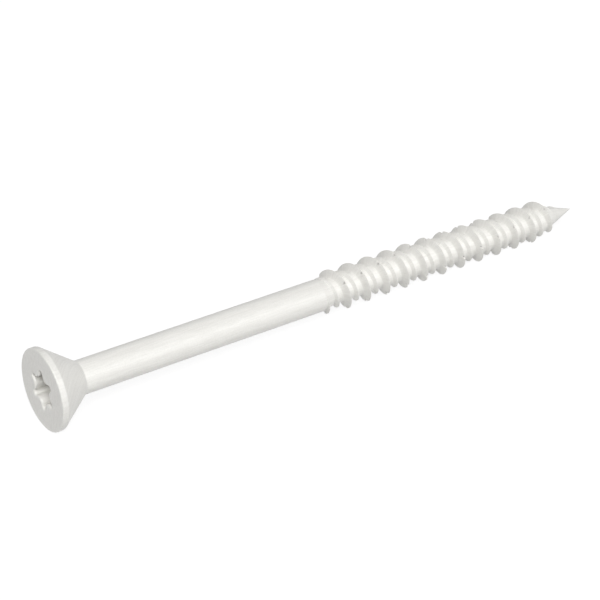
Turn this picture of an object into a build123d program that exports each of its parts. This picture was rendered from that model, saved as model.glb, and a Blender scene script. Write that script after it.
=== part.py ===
from build123d import *
from math import atan, ceil, cos, floor, pi, radians, sin, tan
import os

# A flat-head screw for concrete: one piece of steel wire, headed, roll-threaded and pointed.
# It has a countersunk head with a six-lobe recess, a long plain shank, and a thread of two
# starts, one high and notched, one low and plain, on the half towards the point.
#
# The screw is first made on its own axis, Z, with the face of its head at zero and its point
# up, so that a height below is a distance from the face of the head. Local +X is its underside.
# Last, it is laid down as it comes to rest: on the rim of its head and on the last full crest
# of the high thread, with the point towards +X and the floor at zero.

# Driving dimensions: millimetres, degrees, and turns of the thread where they are named so
length = 95.25

head_diameter = 12.1
rim_height = 1.05
face_edge_chamfer = 0.1
seat_edge_chamfer = 0.25
seat_angle = 75.5

recess_diameter = 5.9
recess_across_flats = 4.0
recess_scallop_radius = 1.2
recess_tip_radius = 0.3
recess_depth = 2.9
recess_floor_angle = 130
recess_lobes = 6
recess_turn = -6

shank_diameter = 4.95

thread_length = 49.6
pitch = 3.59
root_diameter = 4.1
root_run_out = 2.2

high_crest_diameter = 6.52
high_crest_diameter_at_point = 6.2
high_flank_angle = 50
high_run_in = 1.25

low_crest_diameter = 5.2
low_flank_angle = 70

point_angle = 36.4
point_shoulder = 0.35
thread_fade_angle = 57.2
full_thread_to_tip = 6.9
last_full_crest_to_tip = 8.89

notch_floor_diameter = 5.5
notch_steep_angle = 26
notch_gentle_angle = 45
notch_spacing_turns = 0.322
notch_before_last_crest_turns = 0.0746

# How the solid is put together: where its seams lie, how finely the thread is divided, and how
# far its parts reach into each other
head_seam_turn = 3.2
thread_seam_turn = 4.0
strips_per_turn = 5
core_margin = 0.5
sunk_depth = 0.02
sunk_length = 0.5
sunk_share = 0.6

# Sizes that follow
head_radius = head_diameter / 2
shank_radius = shank_diameter / 2
root_radius = root_diameter / 2
high_crest_radius = high_crest_diameter / 2
high_crest_radius_at_point = high_crest_diameter_at_point / 2
low_crest_radius = low_crest_diameter / 2

shank_end = length - thread_length
full_thread_end = length - full_thread_to_tip
last_full_crest = length - last_full_crest_to_tip

point_slope = tan(radians(point_angle / 2))
fade_slope = tan(radians(thread_fade_angle / 2))
point_height = length - root_radius / point_slope
fade_height = (
    high_crest_radius_at_point + full_thread_end * fade_slope - length * point_slope
) / (fade_slope - point_slope)


# Head and shank: one turned outline, that runs on inside the thread's root past the run-out. Its
# seam, like the thread's, is turned off the line that the screw rests on.
neck_height = rim_height + (head_radius - shank_radius) / tan(radians(seat_angle / 2))
run_out_slope = (shank_radius - root_radius) / root_run_out
core_radius = root_radius - core_margin
core_height = shank_end + (shank_radius - core_radius) / run_out_slope
seam_plane = Plane(
    origin=(0, 0, 0),
    x_dir=(cos(radians(head_seam_turn)), sin(radians(head_seam_turn)), 0),
    z_dir=(sin(radians(head_seam_turn)), -cos(radians(head_seam_turn)), 0),
)

with BuildPart() as head_and_shank:
    with BuildSketch(seam_plane) as outline:
        with BuildLine():
            Polyline(
                (0, 0),
                (head_radius, 0),
                (head_radius, rim_height),
                (shank_radius, neck_height),
                (shank_radius, shank_end),
                (core_radius, core_height),
                (0, core_height),
                close=True,
            )
        make_face()
        chamfer(outline.vertices().sort_by_distance((head_radius, 0))[0], face_edge_chamfer)
        chamfer(outline.vertices().sort_by_distance((head_radius, rim_height))[0], seat_edge_chamfer)
    revolve(axis=Axis.Z)


# Point: a plain cone, that starts with a fine shoulder just past the end of the root
point_base = point_height + point_shoulder

with BuildPart() as point:
    with BuildSketch(seam_plane):
        with BuildLine():
            Polyline(
                (0, point_base),
                ((length - point_base) * point_slope, point_base),
                (0, length),
                close=True,
            )
        make_face()
    revolve(axis=Axis.Z)


# Thread: root and both ridges are one closed skin of short ruled strips. Each strip lies between
# two corners of the thread's section, and runs a fifth of a turn. Where the thread starts and
# ends, its corners sink into the shank and the point, which carry it.


def along(height, bends):
    """Radius at a height on an outline of straight lines, given as (height, radius) bends."""
    for (low, low_radius), (high, high_radius) in zip(bends, bends[1:]):
        if height <= high:
            share = max((height - low) / (high - low), 0)
            return low_radius + share * (high_radius - low_radius)
    return bends[-1][1]


inside_height = fade_height + sunk_length
inside_radius = sunk_share * (length - inside_height) * point_slope


def root_at(height):
    """Radius of the thread's root, plain up to the point, and under the point's cone from there."""
    bends = [
        (shank_end, root_radius),
        (point_height, root_radius),
        (inside_height, inside_radius),
        (length, 0),
    ]
    return along(height, bends)


def crest_at(height, crest_radius, crest_radius_at_point):
    """Radius of a crest: it rises out of the shank, and fades down onto the point."""
    narrower = high_crest_radius_at_point - crest_radius_at_point
    bends = [
        (shank_end - sunk_length, root_radius + sunk_depth),
        (shank_end, shank_radius - sunk_depth),
        (shank_end + high_run_in, crest_radius),
        (full_thread_end + narrower / fade_slope, crest_radius_at_point),
        (fade_height, (length - fade_height) * point_slope),
        (inside_height, inside_radius),
        (length, 0),
    ]
    return max(along(height, bends), root_at(height))


def high_crest_at(height):
    return crest_at(height, high_crest_radius, high_crest_radius_at_point)


def low_crest_at(height):
    return crest_at(height, low_crest_radius, low_crest_radius)


# Corners of the section over one pitch, as (height from the high crest, radius along the screw)
high_foot = (high_crest_radius - root_radius) * tan(radians(high_flank_angle / 2))
low_foot = (low_crest_radius - root_radius) * tan(radians(low_flank_angle / 2))
low_offset = -pitch / 2
corners = [
    (high_foot - pitch, root_at),
    (low_offset - low_foot, root_at),
    (low_offset, low_crest_at),
    (low_offset + low_foot, root_at),
    (-high_foot, root_at),
    (0, high_crest_at),
]

start_turns = (shank_end - sunk_length - pitch - last_full_crest - corners[0][0]) / pitch
end_turns = (length - sunk_length - last_full_crest) / pitch - 1
first_strip = floor(start_turns * strips_per_turn)
last_strip = ceil(end_turns * strips_per_turn)


def corner(step, number):
    """Point of a corner after a number of steps round the axis, counted from the last full crest."""
    turn = step / strips_per_turn + thread_seam_turn / 360
    turns_on, place = divmod(number, len(corners))
    offset, radius_at = corners[place]
    height = last_full_crest + (turn + turns_on) * pitch + offset
    radius = radius_at(height)
    return Vector(radius * cos(2 * pi * turn), radius * sin(2 * pi * turn), height)


def corner_arc(step, number):
    """Arc of a corner's helix from one step to the next."""
    ends = corner(step, number), corner(step + 0.5, number), corner(step + 1, number)
    return Edge.make_three_point_arc(*ends)


def axis_point(step, number):
    """Point of the axis at the height of a corner."""
    return Vector(0, 0, corner(step, number).Z)


def ramp(step, number):
    """Ruled face from a corner's arc to the axis, that closes the skin at its first and last turn."""
    axis_edge = Edge.make_line(axis_point(step, number), axis_point(step + 1, number))
    return Face.make_surface_from_curves(corner_arc(step, number), axis_edge)


def end_face(step, first_axis_step, number):
    """Flat face in the plane of the axis, bounded by one pitch of the section and by the axis."""
    section = [corner(step, place) for place in range(len(corners) + 1)]
    steps_back = range(first_axis_step + strips_per_turn, first_axis_step - 1, -1)
    return Face(Wire.make_polygon(section + [axis_point(back, number) for back in steps_back]))


strips = [
    Face.make_surface_from_curves(corner_arc(step, number), corner_arc(step, number + 1))
    for step in range(first_strip, last_strip)
    for number in range(len(corners))
]
ramps = [ramp(step, 0) for step in range(first_strip, first_strip + strips_per_turn)]
ramps += [ramp(step, len(corners)) for step in range(last_strip - strips_per_turn, last_strip)]
ends = [
    end_face(first_strip, first_strip, 0),
    end_face(last_strip, last_strip - strips_per_turn, len(corners)),
]
thread = Solid(Shell(strips + ramps + ends))


# Recess: a six-lobe socket with a low conical floor, cut square into the face
recess_floor_radius = recess_across_flats / 2
recess_floor_height = recess_floor_radius / tan(radians(recess_floor_angle / 2))

with BuildPart() as recess:
    with BuildSketch() as star:
        Circle(recess_diameter / 2)
        with PolarLocations(
            recess_floor_radius + recess_scallop_radius,
            recess_lobes,
            start_angle=recess_turn + 180 / recess_lobes,
        ):
            Circle(recess_scallop_radius, mode=Mode.SUBTRACT)
        fillet(star.vertices(), recess_tip_radius)
    extrude(amount=recess_depth)
    with BuildSketch(Plane.XZ):
        with BuildLine():
            Polyline(
                (0, 0),
                (recess_floor_radius, 0),
                (recess_floor_radius, recess_depth),
                (0, recess_depth + recess_floor_height),
                close=True,
            )
        make_face()
    revolve(axis=Axis.Z)


# Notches: V-shaped nicks through the high crest, evenly spaced along its helix
notch_floor_radius = notch_floor_diameter / 2
notch_top_radius = 2 * high_crest_radius - notch_floor_radius
notch_rise = notch_top_radius - notch_floor_radius
notch_half_length = high_foot
first_notch = ceil((shank_end - last_full_crest) / pitch / notch_spacing_turns)
last_notch = floor((full_thread_end - last_full_crest) / pitch / notch_spacing_turns) + 1


def notch_plane(count):
    """Plane across the axis at a notch, with its X outwards through the notch."""
    turns = count * notch_spacing_turns - notch_before_last_crest_turns
    height = last_full_crest + turns * pitch
    return Plane(
        origin=(0, 0, height),
        x_dir=(cos(2 * pi * turns), sin(2 * pi * turns), 0),
        z_dir=(0, 0, 1),
    )


with BuildPart() as notches:
    with BuildSketch(*[notch_plane(count) for count in range(first_notch, last_notch + 1)]):
        with BuildLine():
            Polyline(
                (notch_floor_radius, 0),
                (notch_top_radius, notch_rise * tan(radians(notch_gentle_angle))),
                (notch_top_radius, -notch_rise * tan(radians(notch_steep_angle))),
                close=True,
            )
        make_face()
    extrude(amount=notch_half_length, both=True)


# The whole screw, upright on its own axis
with BuildPart() as upright:
    add(thread)
    add(head_and_shank.part)
    add(point.part)
    add(recess.part, mode=Mode.SUBTRACT)
    add(notches.part, mode=Mode.SUBTRACT)


# Laid down: its axis leans by the drop from the rim of the head to the last full crest, and the
# origin is on the floor under the middle of its length
lean = atan((head_radius - high_crest_at(last_full_crest)) / (last_full_crest - rim_height))
face_centre_height = head_radius * cos(lean) + rim_height * sin(lean)
face_centre_back = (length * cos(lean) - head_radius * sin(lean)) / 2
resting_axis = Plane(
    origin=(-face_centre_back, 0, face_centre_height),
    x_dir=(-sin(lean), 0, -cos(lean)),
    z_dir=(cos(lean), 0, -sin(lean)),
)

with BuildPart(resting_axis) as concrete_screw:
    add(upright.part)

concrete_screw.part.label = "concrete_screw"
os.makedirs("parts", exist_ok=True)
export_step(concrete_screw.part, "parts/concrete_screw.step")
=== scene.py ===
import bpy
import numpy as np
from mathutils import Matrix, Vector


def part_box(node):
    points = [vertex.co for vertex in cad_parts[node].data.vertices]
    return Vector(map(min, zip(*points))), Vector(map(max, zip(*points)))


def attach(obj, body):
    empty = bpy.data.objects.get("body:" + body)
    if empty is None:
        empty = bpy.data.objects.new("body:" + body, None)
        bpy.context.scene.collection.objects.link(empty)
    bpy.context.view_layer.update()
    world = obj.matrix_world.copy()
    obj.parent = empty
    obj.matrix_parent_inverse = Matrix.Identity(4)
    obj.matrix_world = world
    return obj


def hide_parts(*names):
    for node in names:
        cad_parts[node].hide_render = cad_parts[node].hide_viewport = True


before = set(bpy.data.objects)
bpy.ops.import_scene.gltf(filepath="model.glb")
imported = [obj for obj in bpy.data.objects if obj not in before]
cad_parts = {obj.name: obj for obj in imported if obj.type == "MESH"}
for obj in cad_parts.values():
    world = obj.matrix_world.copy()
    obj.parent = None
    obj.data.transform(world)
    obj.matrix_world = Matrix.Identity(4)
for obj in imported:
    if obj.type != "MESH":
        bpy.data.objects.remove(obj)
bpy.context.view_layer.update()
MM = 0.001


# ---------------------------------------------------------------------------------------------
# The wire blank. A steel wire is cut, and one end is upset into a countersunk head. Its axis is
# Z here, with the head's face at zero and the point up; it is laid down at the very end.

length = 95.25          # lengths are in millimetres until the skin is laid down
head_radius = 6.05
rim_height = 1.05
seat_angle = 75.5       # between the seat's two sides, in degrees
shank_radius = 2.475
thread_length = 49.6
shank_end = length - thread_length
face_edge = 0.22        # radius of the rolled edge round the face
seat_edge = 0.5         # radius of the corner between the rim and the seat
seat_start = 0.92       # height of that corner, a little short of the rim's full height
neck_fillet = 0.35

around = 192            # points round the axis
first_turn = 234 / 360  # where the rings of points start, in turns from the screw's underside


def ring_angles():
    """Angles of one ring's points: even steps of one turn from the first turn."""
    return 2 * np.pi * (first_turn + np.arange(around) / around)


def rounded(before, corner, after, radius, steps):
    """Points of an arc that rounds a corner of a profile: tangent to both sides at the distance
    radius times the cotangent of half the corner's inner angle, swept evenly between them."""
    before, corner, after = (np.array(point, float) for point in (before, corner, after))
    to_before = (before - corner) / np.linalg.norm(before - corner)
    to_after = (after - corner) / np.linalg.norm(after - corner)
    half = np.arccos(np.clip(to_before @ to_after, -1, 1)) / 2
    middle = to_before + to_after
    centre = corner + middle / np.linalg.norm(middle) * radius / np.sin(half)
    start = corner + to_before * radius / np.tan(half) - centre
    end = corner + to_after * radius / np.tan(half) - centre
    share = np.linspace(0, 1, steps + 1)[:, None]
    sweep = np.pi - 2 * half
    along = start * np.sin((1 - share) * sweep) + end * np.sin(share * sweep)
    return centre + along / np.sin(sweep)


def turned(profile, angles):
    """Rings of a turned shape: each (radius, height) of the profile at each angle, with the radius
    times the angle's cosine and sine across, and the height along the axis."""
    profile = np.asarray(profile, float)
    x = profile[:, :1] * np.cos(angles)
    y = profile[:, :1] * np.sin(angles)
    z = np.broadcast_to(profile[:, 1:], x.shape)
    return np.stack([x, y, z], axis=2)


# ---------------------------------------------------------------------------------------------
# The drive recess. A six-lobe punch is struck into the head, which leaves a soft rounded mouth
# and a low conical floor.

lobes = 6               # the first of them points to the first turn
recess_outer = 2.92
recess_inner = 1.96
scallop = 1.2           # radius of the arc between two lobes
lobe_tip = 0.3          # radius of the arc at each side of a lobe's tip
recess_depth = 2.9
floor_cone = recess_inner / np.tan(np.radians(130 / 2))     # height of the cone in the floor
mouth_round = 0.28


def star_outline():
    """The recess's outline, lobe by lobe: an arc of the outer circle, a small tip arc tangent to
    it, the scallop's arc, and the same back. Each arc gets close points, and the whole is then
    read off at even lengths."""
    scallop_at = recess_inner + scallop
    tip_at = recess_outer - lobe_tip
    half_lobe = np.pi / lobes
    apart = scallop + lobe_tip
    turn = np.arccos((tip_at**2 + scallop_at**2 - apart**2) / (2 * tip_at * scallop_at))
    tip_angle = half_lobe - turn
    tip = tip_at * np.array([np.cos(tip_angle), np.sin(tip_angle)])
    centre = scallop_at * np.array([np.cos(half_lobe), np.sin(half_lobe)])
    towards = np.arctan2(centre[1] - tip[1], centre[0] - tip[0])
    back = towards + np.pi
    outer = np.linspace(0, tip_angle, 20)
    small = np.linspace(tip_angle, towards, 30)
    wide = np.linspace(back, half_lobe + np.pi, 60)
    half = np.concatenate([
        recess_outer * np.stack([np.cos(outer), np.sin(outer)], 1),
        tip + lobe_tip * np.stack([np.cos(small), np.sin(small)], 1)[1:],
        centre + scallop * np.stack([np.cos(wide), np.sin(wide)], 1)[1:],
    ])
    run = np.concatenate([[0], np.cumsum(np.hypot(*np.diff(half, axis=0).T))])
    steps = around // lobes // 2
    even = np.linspace(0, run[-1], steps + 1)
    half = np.stack([np.interp(even, run, half[:, i]) for i in (0, 1)], 1)
    angle = np.arctan2(half[:, 1], half[:, 0])
    radius = np.hypot(half[:, 0], half[:, 1])
    angle = np.concatenate([angle, 2 * half_lobe - angle[-2:0:-1]])
    radius = np.concatenate([radius, radius[-2:0:-1]])
    angle = np.concatenate([angle + 2 * half_lobe * lobe for lobe in range(lobes)])
    radius = np.tile(radius, lobes)
    angle = angle + 2 * np.pi * first_turn
    return np.stack([radius * np.cos(angle), radius * np.sin(angle)], 1)


def outwards(outline):
    """Unit normals of a closed outline, from the step between each point's two neighbours."""
    step = np.roll(outline, -1, 0) - np.roll(outline, 1, 0)
    normal = np.stack([step[:, 1], -step[:, 0]], 1)
    return normal / np.linalg.norm(normal, axis=1)[:, None]


def at_height(outline, height):
    """A ring of an outline's points at one height, or at a height for each point."""
    return np.column_stack([outline, np.broadcast_to(height, len(outline))])


star = star_outline()
star_normal = outwards(star)

# The floor as shrunken outlines on the cone, then the walls, then the quarter round of the mouth
rings = []
for share in (0.25, 0.5, 0.75, 0.9, 0.97, 1.0):
    reach = np.linalg.norm(share * star, axis=1)
    depth = recess_depth + floor_cone * np.clip(1 - reach / recess_inner, 0, None)
    rings.append(at_height(share * star, depth))
for height in (2.85, 2.2, 1.4, 0.7, 0.4):
    rings.append(at_height(star, height))
for angle in np.radians([0, 18, 36, 54, 72, 90]):
    rings.append(at_height(star + star_normal * mouth_round * (1 - np.cos(angle)),
                           mouth_round * (1 - np.sin(angle))))

# The flat face, from the recess's mouth to the head's edge
mouth = star + star_normal * mouth_round
edge_circle = turned([(head_radius - face_edge, 0)], ring_angles())[0][:, :2]
for share in (0.02, 0.06, 0.15, 0.35, 0.6, 0.82, 0.94, 0.98):
    rings.append(at_height(mouth + (edge_circle - mouth) * share, 0))


# ---------------------------------------------------------------------------------------------
# Head and shank: a thin rim, the countersunk seat and the plain shank, all of one wire. They are
# turned rings, from the edge of the face to the seam where the thread's own rows of points start.

neck_height = rim_height + (head_radius - shank_radius) / np.tan(np.radians(seat_angle / 2))
last_full_crest = length - 8.89     # the high crest there passes the screw's underside
pitch = 3.59
seam = 0.98                         # from a high crest to the seam in the root beyond it
start_turn = first_turn - 12        # the skin's first turn, counted from the last full crest
skin_start = last_full_crest + pitch * start_turn + seam - pitch

rim_end = (head_radius, rim_height)
seat_corner = (head_radius, seat_start)
neck_corner = (shank_radius, neck_height)

profile = list(rounded((0, 0), (head_radius, 0), rim_end, face_edge, 5))
profile += [(head_radius, height) for height in (0.3, 0.48, 0.65)]
profile += list(rounded((head_radius, 0), seat_corner, neck_corner, seat_edge, 6))
profile += [(head_radius - drop,
             np.interp(drop, [0, head_radius - shank_radius], [seat_start, neck_height]))
            for drop in (0.3, 0.6, 1.0, 1.7, 2.4, 3.1, 3.4)]
profile += list(rounded(seat_corner, neck_corner, (shank_radius, shank_end), neck_fillet, 4))
profile += [(shank_radius, neck_height + further) for further in (0.2, 0.5)]
profile += [(shank_radius, height) for height in np.linspace(neck_height + 1.2, skin_start, 12)]
rings += list(turned(profile, ring_angles()))


# ---------------------------------------------------------------------------------------------
# The thread. Two ridges are rolled up out of the wire, a high one, with nicks across its crest,
# and a low one half-way between its turns, and both fade onto the point.

root_radius = 2.05
run_out = 2.2                   # height over which the shank narrows to the root
run_in = 1.25                   # height over which the ridges rise to their full crests
high_crest, high_crest_at_point = 3.26, 3.10
low_crest = 2.6
high_land, low_land = 0.08, 0.2
high_flank = np.tan(np.radians(22))
low_flank = np.tan(np.radians(27))
crest_round, point_round, shank_round = 0.06, 0.08, 0.05
high_foot_round, low_foot_round = 0.16, 0.08

# The point's cone, and where the two ridges start to fade and have sunk onto it
point_slope = np.tan(np.radians(18.2))
fade_slope = np.tan(np.radians(28.6))
full_thread_end = length - 6.9
fade_end = (high_crest_at_point + full_thread_end * fade_slope - length * point_slope) / (
    fade_slope - point_slope)
low_thread_end, low_fade_end = length - 6.6, length - 4.6

# The notches. Spacing and phase are in turns along the high crest, from the last full crest.
notch_floor = 2.72              # distance of a notch's floor from the axis
notch_spacing = 0.322
notch_phase = -0.0746
notch_gentle, notch_steep = np.tan(np.radians(45)), np.tan(np.radians(26))
notch_reach = 1.2               # the angle in radians up to which a notch's walls are followed
notch_round = 0.05
first_notch = int(np.ceil((shank_end - last_full_crest) / pitch / notch_spacing))
last_notch = int(np.floor((full_thread_end - last_full_crest) / pitch / notch_spacing)) + 1


def soft_max(a, b, width):
    """The larger of two heights, with a parabola of that width between them where they cross."""
    near = np.clip(width - np.abs(a - b), 0, None) / width
    return np.maximum(a, b) + near**2 * width / 4


def soft_min(a, b, width):
    """The smaller of two heights, with the same parabola between them."""
    return -soft_max(-a, -b, width)


def ridge(offset, crest, land, flank):
    """Radius of a ridge's section: its crest over the land, and past the land's half width the
    crest less the offset over the flank's slope."""
    return soft_min(crest, crest - (np.abs(offset) - land / 2) / flank, crest_round)


def past_notch(along):
    """Angle in radians past the floor of the nearest notch, from turns along the high crest."""
    number = np.clip(np.round((along - notch_phase) / notch_spacing), first_notch, last_notch)
    past = 2 * np.pi * (along - notch_phase - number * notch_spacing)
    return np.clip(past, -notch_reach, notch_reach)


def cut_radius(along):
    """Radius that the nearest notch cuts down to: the distance from the axis, along a ray at an
    angle past the notch's floor, to the steep wall before it or to the gentle wall behind it."""
    past = past_notch(along)
    gentle = np.cos(past) - np.sin(past) / notch_gentle
    steep = np.cos(past) + np.sin(past) / notch_steep
    least = 0.2     # the ray hardly meets the wall there, far outside the crest
    return notch_floor / np.clip(np.where(past > 0, gentle, steep), least, None)


def skin_radius(turn, height, notched=True):
    """Radius of the screw past the head, at an angle in turns and a height: the soft union of
    the shank with its run-out, the root, the two ridges and the point, less the notches. The
    offset from the nearest high crest comes from the height less a pitch for every turn."""
    pitches = (height - last_full_crest) / pitch - turn
    offset = (pitches - np.round(pitches)) * pitch
    along = (height - offset - last_full_crest) / pitch
    cone = (length - height) * point_slope
    core = soft_min(np.full_like(height, root_radius), cone, point_round)
    narrowing = (height - shank_end) * ((shank_radius - root_radius) / run_out)
    shank = np.minimum(shank_radius, shank_radius - narrowing)
    low_offset = pitch / 2 - np.abs(offset)

    # A crest starts hidden in the shank, rises out of it, and sinks into the cone and the axis
    crests = []
    for top, top_at_point, fading, faded in (
            (high_crest, high_crest_at_point, full_thread_end, fade_end),
            (low_crest, low_crest, low_thread_end, low_fade_end)):
        crests.append(np.interp(
            height,
            [shank_end - 0.5, shank_end, shank_end + run_in, fading, faded, length],
            [root_radius - 1, shank_radius - 0.1, top, top_at_point,
             (length - faded) * point_slope - 0.02, -1],
        ))
    high = ridge(offset, crests[0], high_land, high_flank)
    low = ridge(low_offset, crests[1], low_land, low_flank)
    if notched:
        high = soft_min(high, cut_radius(along), notch_round)
    radius = soft_max(soft_max(core, high, high_foot_round), low, low_foot_round)
    return soft_max(radius, shank, shank_round)


def skin(turn, height):
    """Points of the screw's skin at angles in turns and heights, at the skin's radius there."""
    turn, height = np.broadcast_arrays(turn, height)
    radius = skin_radius(turn, height)
    angle = 2 * np.pi * turn
    return np.stack([radius * np.cos(angle), radius * np.sin(angle), height], -1)


# Offsets of the skin's rows from the high crest, over one pitch from seam to seam
rows = np.array([
    seam - pitch, -2.28, -2.205, -2.145, -1.925, -1.865, -1.725, -1.665, -1.445, -1.385, -1.31,
    -0.71, -0.64, -0.57, -0.50, -0.39, -0.286, -0.18, -0.07, -0.02,
    0.02, 0.07, 0.18, 0.286, 0.39, 0.50, 0.57, 0.64, 0.71,
])
columns = len(rows)
thread_stop = length - 4.25     # past it the skin is plain rings of the point's cone
last_step = int(round(around * (thread_stop - skin_start) / pitch))


def notched_turns(steps):
    """Turns of the steps along the high crest, counted from the first step: even, but moved by
    up to half a step so that steps fall on both edges and on the floor of every notch."""
    even = steps / around
    clear = 6       # steps past a notch's edges where they are even again
    depth = high_crest - 0.1 - notch_floor      # from just under the crest's soft edge
    edges = np.arctan2([-depth * notch_steep, 0, depth * notch_gentle], high_crest) / (2 * np.pi)
    spots, places = [], []
    for number in range(first_notch, last_notch + 1):
        centre = notch_phase + number * notch_spacing - start_turn
        marks = [round((centre + edge) * around) for edge in edges]
        before, after = marks[0] - clear, marks[2] + clear
        spots += [before, *marks, after]
        places += [before / around, *(centre + edges), after / around]
    inside = (steps >= spots[0]) & (steps <= spots[-1])
    return even, np.where(inside, np.interp(steps, spots, places), even)


steps = np.arange(last_step + around + 1)
even, notched = notched_turns(steps)
near_crest = np.clip((1.0 - np.abs(rows)) / 0.3, 0, 1)      # only rows near the crest are moved
turn = start_turn + even[:, None] + near_crest * (notched - even)[:, None]
height = last_full_crest + pitch * turn + rows
strip = skin(turn, height)

# Painted shade for the corner under a notch's steep wall, where that wall casts its shadow. How deep
# in that corner each point of the thread lies, from 0 to 1: the share of a full cut there, which
# fades out from one step past the floor to the next
full_cut = 0.25
cut = skin_radius(turn, height, notched=False) - skin_radius(turn, height)
steps_past = past_notch(turn) * around / (2 * np.pi)
painted_notch_shade = np.clip(cut / full_cut, 0, 1) * np.clip(2 - steps_past, 0, 1)

# The first and last turns, where the rows open out from one ring and close up to another
share = np.arange(1, around)[:, None] / around
lead_in = skin(first_turn + share, skin_start + (rows[1:] - rows[0]) * share)
end_height = last_full_crest + pitch * (start_turn + last_step / around) + rows[0]
end_rows = np.append(rows[1:], rows[0] + pitch) - rows[0]
lead_out = skin(first_turn + last_step / around + share,
                end_height + pitch * share + end_rows * (1 - share))

# The point: plain rings from the end of the thread's last turn to the tip
cone_heights = np.linspace(end_height + pitch, length - 0.25, 5)[1:]
tip_profile = [((length - height) * point_slope, height) for height in cone_heights]
tip_profile += [(short * point_slope, length - short) for short in (0.12, 0.05)]
tip_angles = 2 * np.pi * (first_turn + last_step / around + np.arange(around) / around)
tip_rings = turned(tip_profile, tip_angles)


# ---------------------------------------------------------------------------------------------
# The screw as one closed skin: recess, face, head, shank, thread and point share their rings of
# points, so that it has no seam. It is laid down on its head's rim and its last full crest.

rings = np.array(rings)
count = len(rings)
floor_pole = np.array([[0, 0, recess_depth + floor_cone]])
tip_pole = np.array([[0, 0, length]])
parts = [floor_pole, rings, lead_in, strip[:last_step + 1], strip[last_step + 1:, 0], lead_out,
         tip_rings, tip_pole]
parts = [part.reshape(-1, 3) for part in parts]
starts = np.cumsum([0] + [len(part) for part in parts])
points = np.concatenate(parts)

# The number of each point, laid out as its ring, its row or the seam that two turns share
ring_at = starts[1] + np.arange(count * around).reshape(count, around)
strip_at = starts[3] + np.arange((last_step + 1) * columns).reshape(-1, columns)
seam_at = np.concatenate([strip_at[:, 0], starts[4] + np.arange(around)])
strip_at[0, 0] = seam_at[0] = ring_at[-1, 0]
tip_at = starts[6] + np.arange(len(tip_rings) * around).reshape(-1, around)


def filled(grid):
    """Triangles between neighbouring rows and columns of a grid of point numbers. Where the
    grid closes to one point, the triangles that would have no area are left out."""
    a, b, c, d = grid[:-1, :-1], grid[1:, :-1], grid[1:, 1:], grid[:-1, 1:]
    halves = [np.stack(three, -1).reshape(-1, 3) for three in ((a, b, c), (a, c, d))]
    faces = np.concatenate(halves)
    flat = (faces == np.roll(faces, -1, axis=1)).any(axis=1)
    return faces[~flat]


def closed_ring(numbers):
    """A ring's point numbers with the first one repeated at the end."""
    return np.append(numbers, numbers[..., :1], axis=-1)


head_grid = np.vstack([np.zeros((1, around + 1), int), closed_ring(ring_at)]).T
thread_grid = np.column_stack([strip_at, seam_at[around:around + last_step + 1]])

lead_in_grid = np.empty((around + 1, columns + 1), int)
lead_in_grid[:, 0] = closed_ring(ring_at[-1])
lead_in_grid[0] = ring_at[-1, 0]
lead_in_grid[1:-1, 1:-1] = starts[2] + np.arange((around - 1) * (columns - 1)).reshape(around - 1, -1)
lead_in_grid[:, -1] = seam_at[:around + 1]
lead_in_grid[-1, 1:-1] = strip_at[0, 1:]

lead_out_grid = np.empty((around + 1, columns + 1), int)
lead_out_grid[1:-1, 1:] = starts[5] + np.arange((around - 1) * columns).reshape(around - 1, -1)
lead_out_grid[0, :-1] = strip_at[-1]
lead_out_grid[-1] = seam_at[-1]
lead_out_grid[0, -1] = seam_at[-1]
lead_out_grid[:, 0] = seam_at[last_step:]

last_ring = lead_out_grid[:-1, -1]
tip_fan = np.full((1, around + 1), len(points) - 1)
point_grid = np.vstack([closed_ring(last_ring), closed_ring(tip_at), tip_fan]).T

grids = (head_grid, lead_in_grid, thread_grid, lead_out_grid, point_grid)
faces = np.concatenate([filled(grid) for grid in grids])
used, faces = np.unique(faces, return_inverse=True)
points, faces = points[used], faces.reshape(-1, 3)

# It leans by the angle at which the rim and the last full crest both touch the table
low, high = (np.array(corner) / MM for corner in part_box("concrete_screw"))
crest_drop = high_crest - high_crest_at_point
crest_there = high_crest_at_point + crest_drop * (full_thread_end - last_full_crest) / (
    full_thread_end - shank_end - run_in)
lean = np.arctan((head_radius - crest_there) / (last_full_crest - rim_height))
towards_point = np.array([np.cos(lean), 0, -np.sin(lean)])
underside = np.array([-np.sin(lean), 0, -np.cos(lean)])
face_centre = np.array([
    high[0] - length * np.cos(lean), 0,
    low[2] + head_radius * np.cos(lean) + rim_height * np.sin(lean),
])
axes = np.array([underside, np.cross(towards_point, underside), towards_point])
laid = (face_centre + points @ axes) * MM

mesh = bpy.data.meshes.new("concrete_screw_skin")
mesh.vertices.add(len(laid))
mesh.vertices.foreach_set("co", laid.ravel())
mesh.loops.add(faces.size)
mesh.loops.foreach_set("vertex_index", faces.ravel().astype(np.int32))
mesh.polygons.add(len(faces))
mesh.polygons.foreach_set("loop_start", np.arange(0, faces.size, 3, dtype=np.int32))
mesh.update(calc_edges=True)
mesh.validate()
mesh.polygons.foreach_set("use_smooth", np.ones(len(faces), bool))
mesh.set_sharp_from_angle(angle=np.radians(38))

# Which way the marks of drawing and rolling run: the coordinate turns round the axis at one
# radius and moves slowly along the profile. The marks twist over the seat, and run one way
# across the flat face.
grain_radius, grain_along = 3, 0.08
seat_twist = 0.9
turned_to = np.arctan2(points[:, 1], points[:, 0])
turned_to += np.interp(points[:, 2], [rim_height, neck_height], [0, seat_twist])
profile_run = points[:, 2] + 0.7 * np.hypot(points[:, 0], points[:, 1])
grain = np.stack([grain_radius * np.cos(turned_to), grain_radius * np.sin(turned_to),
                  grain_along * profile_run], 1)
on_face = points[:, 2] < 0.01
grain[on_face] = points[on_face] * (0.25, 1, 0)
flow = mesh.attributes.new("grain", "FLOAT_VECTOR", "POINT")
flow.data.foreach_set("vector", (grain * MM).ravel().astype(np.float32))

# The painted shade of the notch corners, point by point, handed to the paint as an attribute
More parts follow.
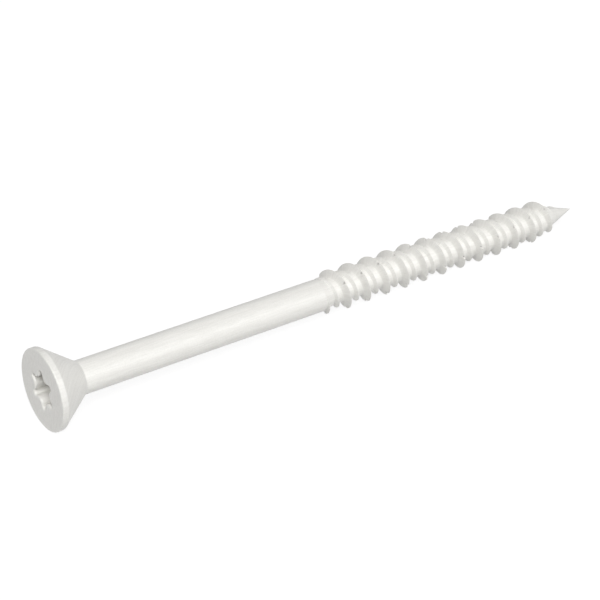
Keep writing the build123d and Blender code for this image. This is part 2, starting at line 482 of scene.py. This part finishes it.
corners = np.zeros(starts[-1])
corners[starts[3]:starts[4]] = painted_notch_shade[:last_step + 1].ravel()
notch_shade_layer = mesh.attributes.new("painted_notch_shade", "FLOAT", "POINT")
notch_shade_layer.data.foreach_set("value", corners[used].astype(np.float32))

screw = bpy.data.objects.new("concrete_screw_skin", mesh)
bpy.context.scene.collection.objects.link(screw)


# ---------------------------------------------------------------------------------------------
# The coating: a thin satin paint, warm white, baked onto the steel. It follows the marks that
# drawing and rolling leave: streaks along the shank and fine ribs out along the thread's flanks.
# Its colour is darkened as painted shade in the corners of the notches, where the steep walls cast
# their shadow.

paint = bpy.data.materials.new("warm_white_paint")
paint.use_nodes = True
tree = paint.node_tree
shader = tree.nodes["Principled BSDF"]
shader.inputs["Specular IOR Level"].default_value = 0.6


def noise(place, size, detail):
    """Soft noise from 0 to 1 on a coordinate, with spots of about that size in millimetres."""
    spots = tree.nodes.new("ShaderNodeTexNoise")
    spots.inputs["Scale"].default_value = 1 / (size * MM)
    spots.inputs["Detail"].default_value = detail
    tree.links.new(place, spots.inputs["Vector"])
    spread = tree.nodes.new("ShaderNodeMapRange")       # most of the noise is between 0.3 and 0.7
    spread.inputs["From Min"].default_value = 0.3
    spread.inputs["From Max"].default_value = 0.7
    tree.links.new(spots.outputs["Fac"], spread.inputs["Value"])
    return spread.outputs["Result"]


def between(factor, low, high):
    """A value, or another output, mixed from low to high by a factor."""
    mixed = tree.nodes.new("ShaderNodeMix")
    for socket, value in (("Factor", factor), ("A", low), ("B", high)):
        if isinstance(value, (int, float)):
            mixed.inputs[socket].default_value = value
        else:
            tree.links.new(value, mixed.inputs[socket])
    return mixed.outputs["Result"]


along_marks = tree.nodes.new("ShaderNodeAttribute")
along_marks.attribute_name = "grain"
marks = along_marks.outputs["Vector"]
in_space = tree.nodes.new("ShaderNodeTexCoord").outputs["Object"]

streaks = between(0.6, noise(marks, 0.5, 1), noise(marks, 0.2, 1))
mottle = noise(in_space, 1.6, 2)
specks = noise(in_space, 0.2, 1)
cover = between(0.3, between(0.15, streaks, mottle), specks)

tint = tree.nodes.new("ShaderNodeMix")
tint.data_type = "RGBA"
tint.inputs["A"].default_value = (0.73, 0.718, 0.683, 1)
tint.inputs["B"].default_value = (0.87, 0.862, 0.827, 1)
tree.links.new(cover, tint.inputs["Factor"])

# Painted shade: in the notches' corners the base colour darkens towards this grey, standing in for
# the steep walls' shadow
in_corners = tree.nodes.new("ShaderNodeAttribute")
in_corners.attribute_name = "painted_notch_shade"
shade = tree.nodes.new("ShaderNodeMix")
shade.data_type = "RGBA"
shade.inputs["B"].default_value = (0.5, 0.493, 0.47, 1)
tree.links.new(in_corners.outputs["Fac"], shade.inputs["Factor"])
tree.links.new(tint.outputs["Result"], shade.inputs["A"])
tree.links.new(shade.outputs["Result"], shader.inputs["Base Color"])
tree.links.new(between(mottle, 0.3, 0.4), shader.inputs["Roughness"])

relief = tree.nodes.new("ShaderNodeBump")
relief.inputs["Strength"].default_value = 0.4
relief.inputs["Distance"].default_value = 0.02 * MM
tree.links.new(between(0.4, streaks, specks), relief.inputs["Height"])
tree.links.new(relief.outputs["Normal"], shader.inputs["Normal"])
mesh.materials.append(paint)

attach(screw, "root")
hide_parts("concrete_screw")


# ---------------------------------------------------------------------------------------------
# The table under the screw: a wide matt white board that the screw lies loose on. It only shows
# where the screw keeps the light from it.

def table_top():
    """A flat square of four corners at the floor's height, each as far out on both axes."""
    top = bpy.data.meshes.new("table")
    reach = 4.0
    corners = [(-reach, -reach, 0), (reach, -reach, 0), (reach, reach, 0), (-reach, reach, 0)]
    top.from_pydata(corners, [], [(0, 1, 2, 3)])
    table = bpy.data.objects.new("table", top)
    bpy.context.scene.collection.objects.link(table)
    return table


def seen_directly(tree):
    """One where a ray comes from the camera, a mirror or a glass, and zero for light that spreads
    from surface to surface."""
    rays = tree.nodes.new("ShaderNodeLightPath")
    seen = rays.outputs["Is Camera Ray"]
    for other in ("Is Glossy Ray", "Is Transmission Ray"):
        either = tree.nodes.new("ShaderNodeMath")
        either.operation = "MAXIMUM"
        tree.links.new(seen, either.inputs[0])
        tree.links.new(rays.outputs[other], either.inputs[1])
        seen = either.outputs[0]
    return seen


def white_table():
    """A pale matt table that is seen as plain white, but for a faint shadow under the screw."""
    white = bpy.data.materials.new("white_table")
    white.use_nodes = True
    tree = white.node_tree
    tree.nodes.remove(tree.nodes["Principled BSDF"])
    spread = tree.nodes.new("ShaderNodeBsdfDiffuse")
    spread.inputs["Color"].default_value = (0.65, 0.65, 0.65, 1)
    shaded = tree.nodes.new("ShaderNodeBsdfDiffuse")
    shaded.inputs["Color"].default_value = (0.2, 0.2, 0.2, 1)
    glow = tree.nodes.new("ShaderNodeEmission")
    glow.inputs["Strength"].default_value = 0.89
    seen = tree.nodes.new("ShaderNodeAddShader")
    tree.links.new(shaded.outputs[0], seen.inputs[0])
    tree.links.new(glow.outputs[0], seen.inputs[1])
    either = tree.nodes.new("ShaderNodeMixShader")
    tree.links.new(seen_directly(tree), either.inputs[0])
    tree.links.new(spread.outputs[0], either.inputs[1])
    tree.links.new(seen.outputs[0], either.inputs[2])
    tree.links.new(either.outputs[0], tree.nodes["Material Output"].inputs["Surface"])
    return white


table = table_top()
table.data.materials.append(white_table())


# ---------------------------------------------------------------------------------------------
# The light over the table: a white room that gives a little light from all round, and four
# round lamps a metre off, one before and over the screw and three lower ones beside and behind.

def white_room():
    """A room that gives a little light from all round, and is seen as plain white."""
    room = bpy.data.worlds.new("room")
    room.use_nodes = True
    tree = room.node_tree
    strength = tree.nodes.new("ShaderNodeMix")
    strength.inputs["A"].default_value = 0.06
    strength.inputs["B"].default_value = 1.0
    tree.links.new(seen_directly(tree), strength.inputs["Factor"])
    walls = tree.nodes["Background"]
    walls.inputs["Color"].default_value = (1, 1, 1, 1)
    tree.links.new(strength.outputs["Result"], walls.inputs["Strength"])
    return room


bpy.context.scene.world = white_room()


def disk_lamp(name, place, size, power):
    """A round lamp at a place, aimed at the middle of the table, where the screw lies."""
    data = bpy.data.lights.new(name, "AREA")
    data.shape = "DISK"
    data.size = size
    data.energy = power
    lamp = bpy.data.objects.new(name, data)
    lamp.location = place
    lamp.rotation_euler = Vector(place).to_track_quat("Z", "Y").to_euler()
    bpy.context.scene.collection.objects.link(lamp)


def beside_camera(turn, rise):
    """A place one metre off: the camera's bearing and a turn from it give the direction over the
    table, and the rise the angle over it, all in degrees."""
    camera_bearing = -124.543391    # to within a degree
    bearing, rise = np.radians(camera_bearing + turn), np.radians(rise)
    return (np.cos(bearing) * np.cos(rise), np.sin(bearing) * np.cos(rise), np.sin(rise))


disk_lamp("key", beside_camera(0, 52), 0.6, 8.6)
disk_lamp("right_fill", beside_camera(66, 25), 0.7, 2.7)
disk_lamp("left_fill", beside_camera(-55, 15), 0.6, 0.5)
disk_lamp("back_fill", beside_camera(180, 40), 0.6, 0.55)


# ---------------------------------------------------------------------------------------------
# The camera: a long lens just over a quarter of a metre off, nearer the head than the point. It
# looks across the screw and down on it.

camera = bpy.data.cameras.new("camera")
camera.sensor_width = 36
camera.lens = 114.43476
camera.clip_start = 0.01
view = bpy.data.objects.new("camera", camera)
view.location = (-0.13725361, -0.19238790, 0.15911814)
view.rotation_euler = (np.radians(56.560414), 0, np.radians(-34.518))
bpy.context.scene.collection.objects.link(view)
bpy.context.scene.camera = view
bpy.context.scene.view_settings.view_transform = "Standard"
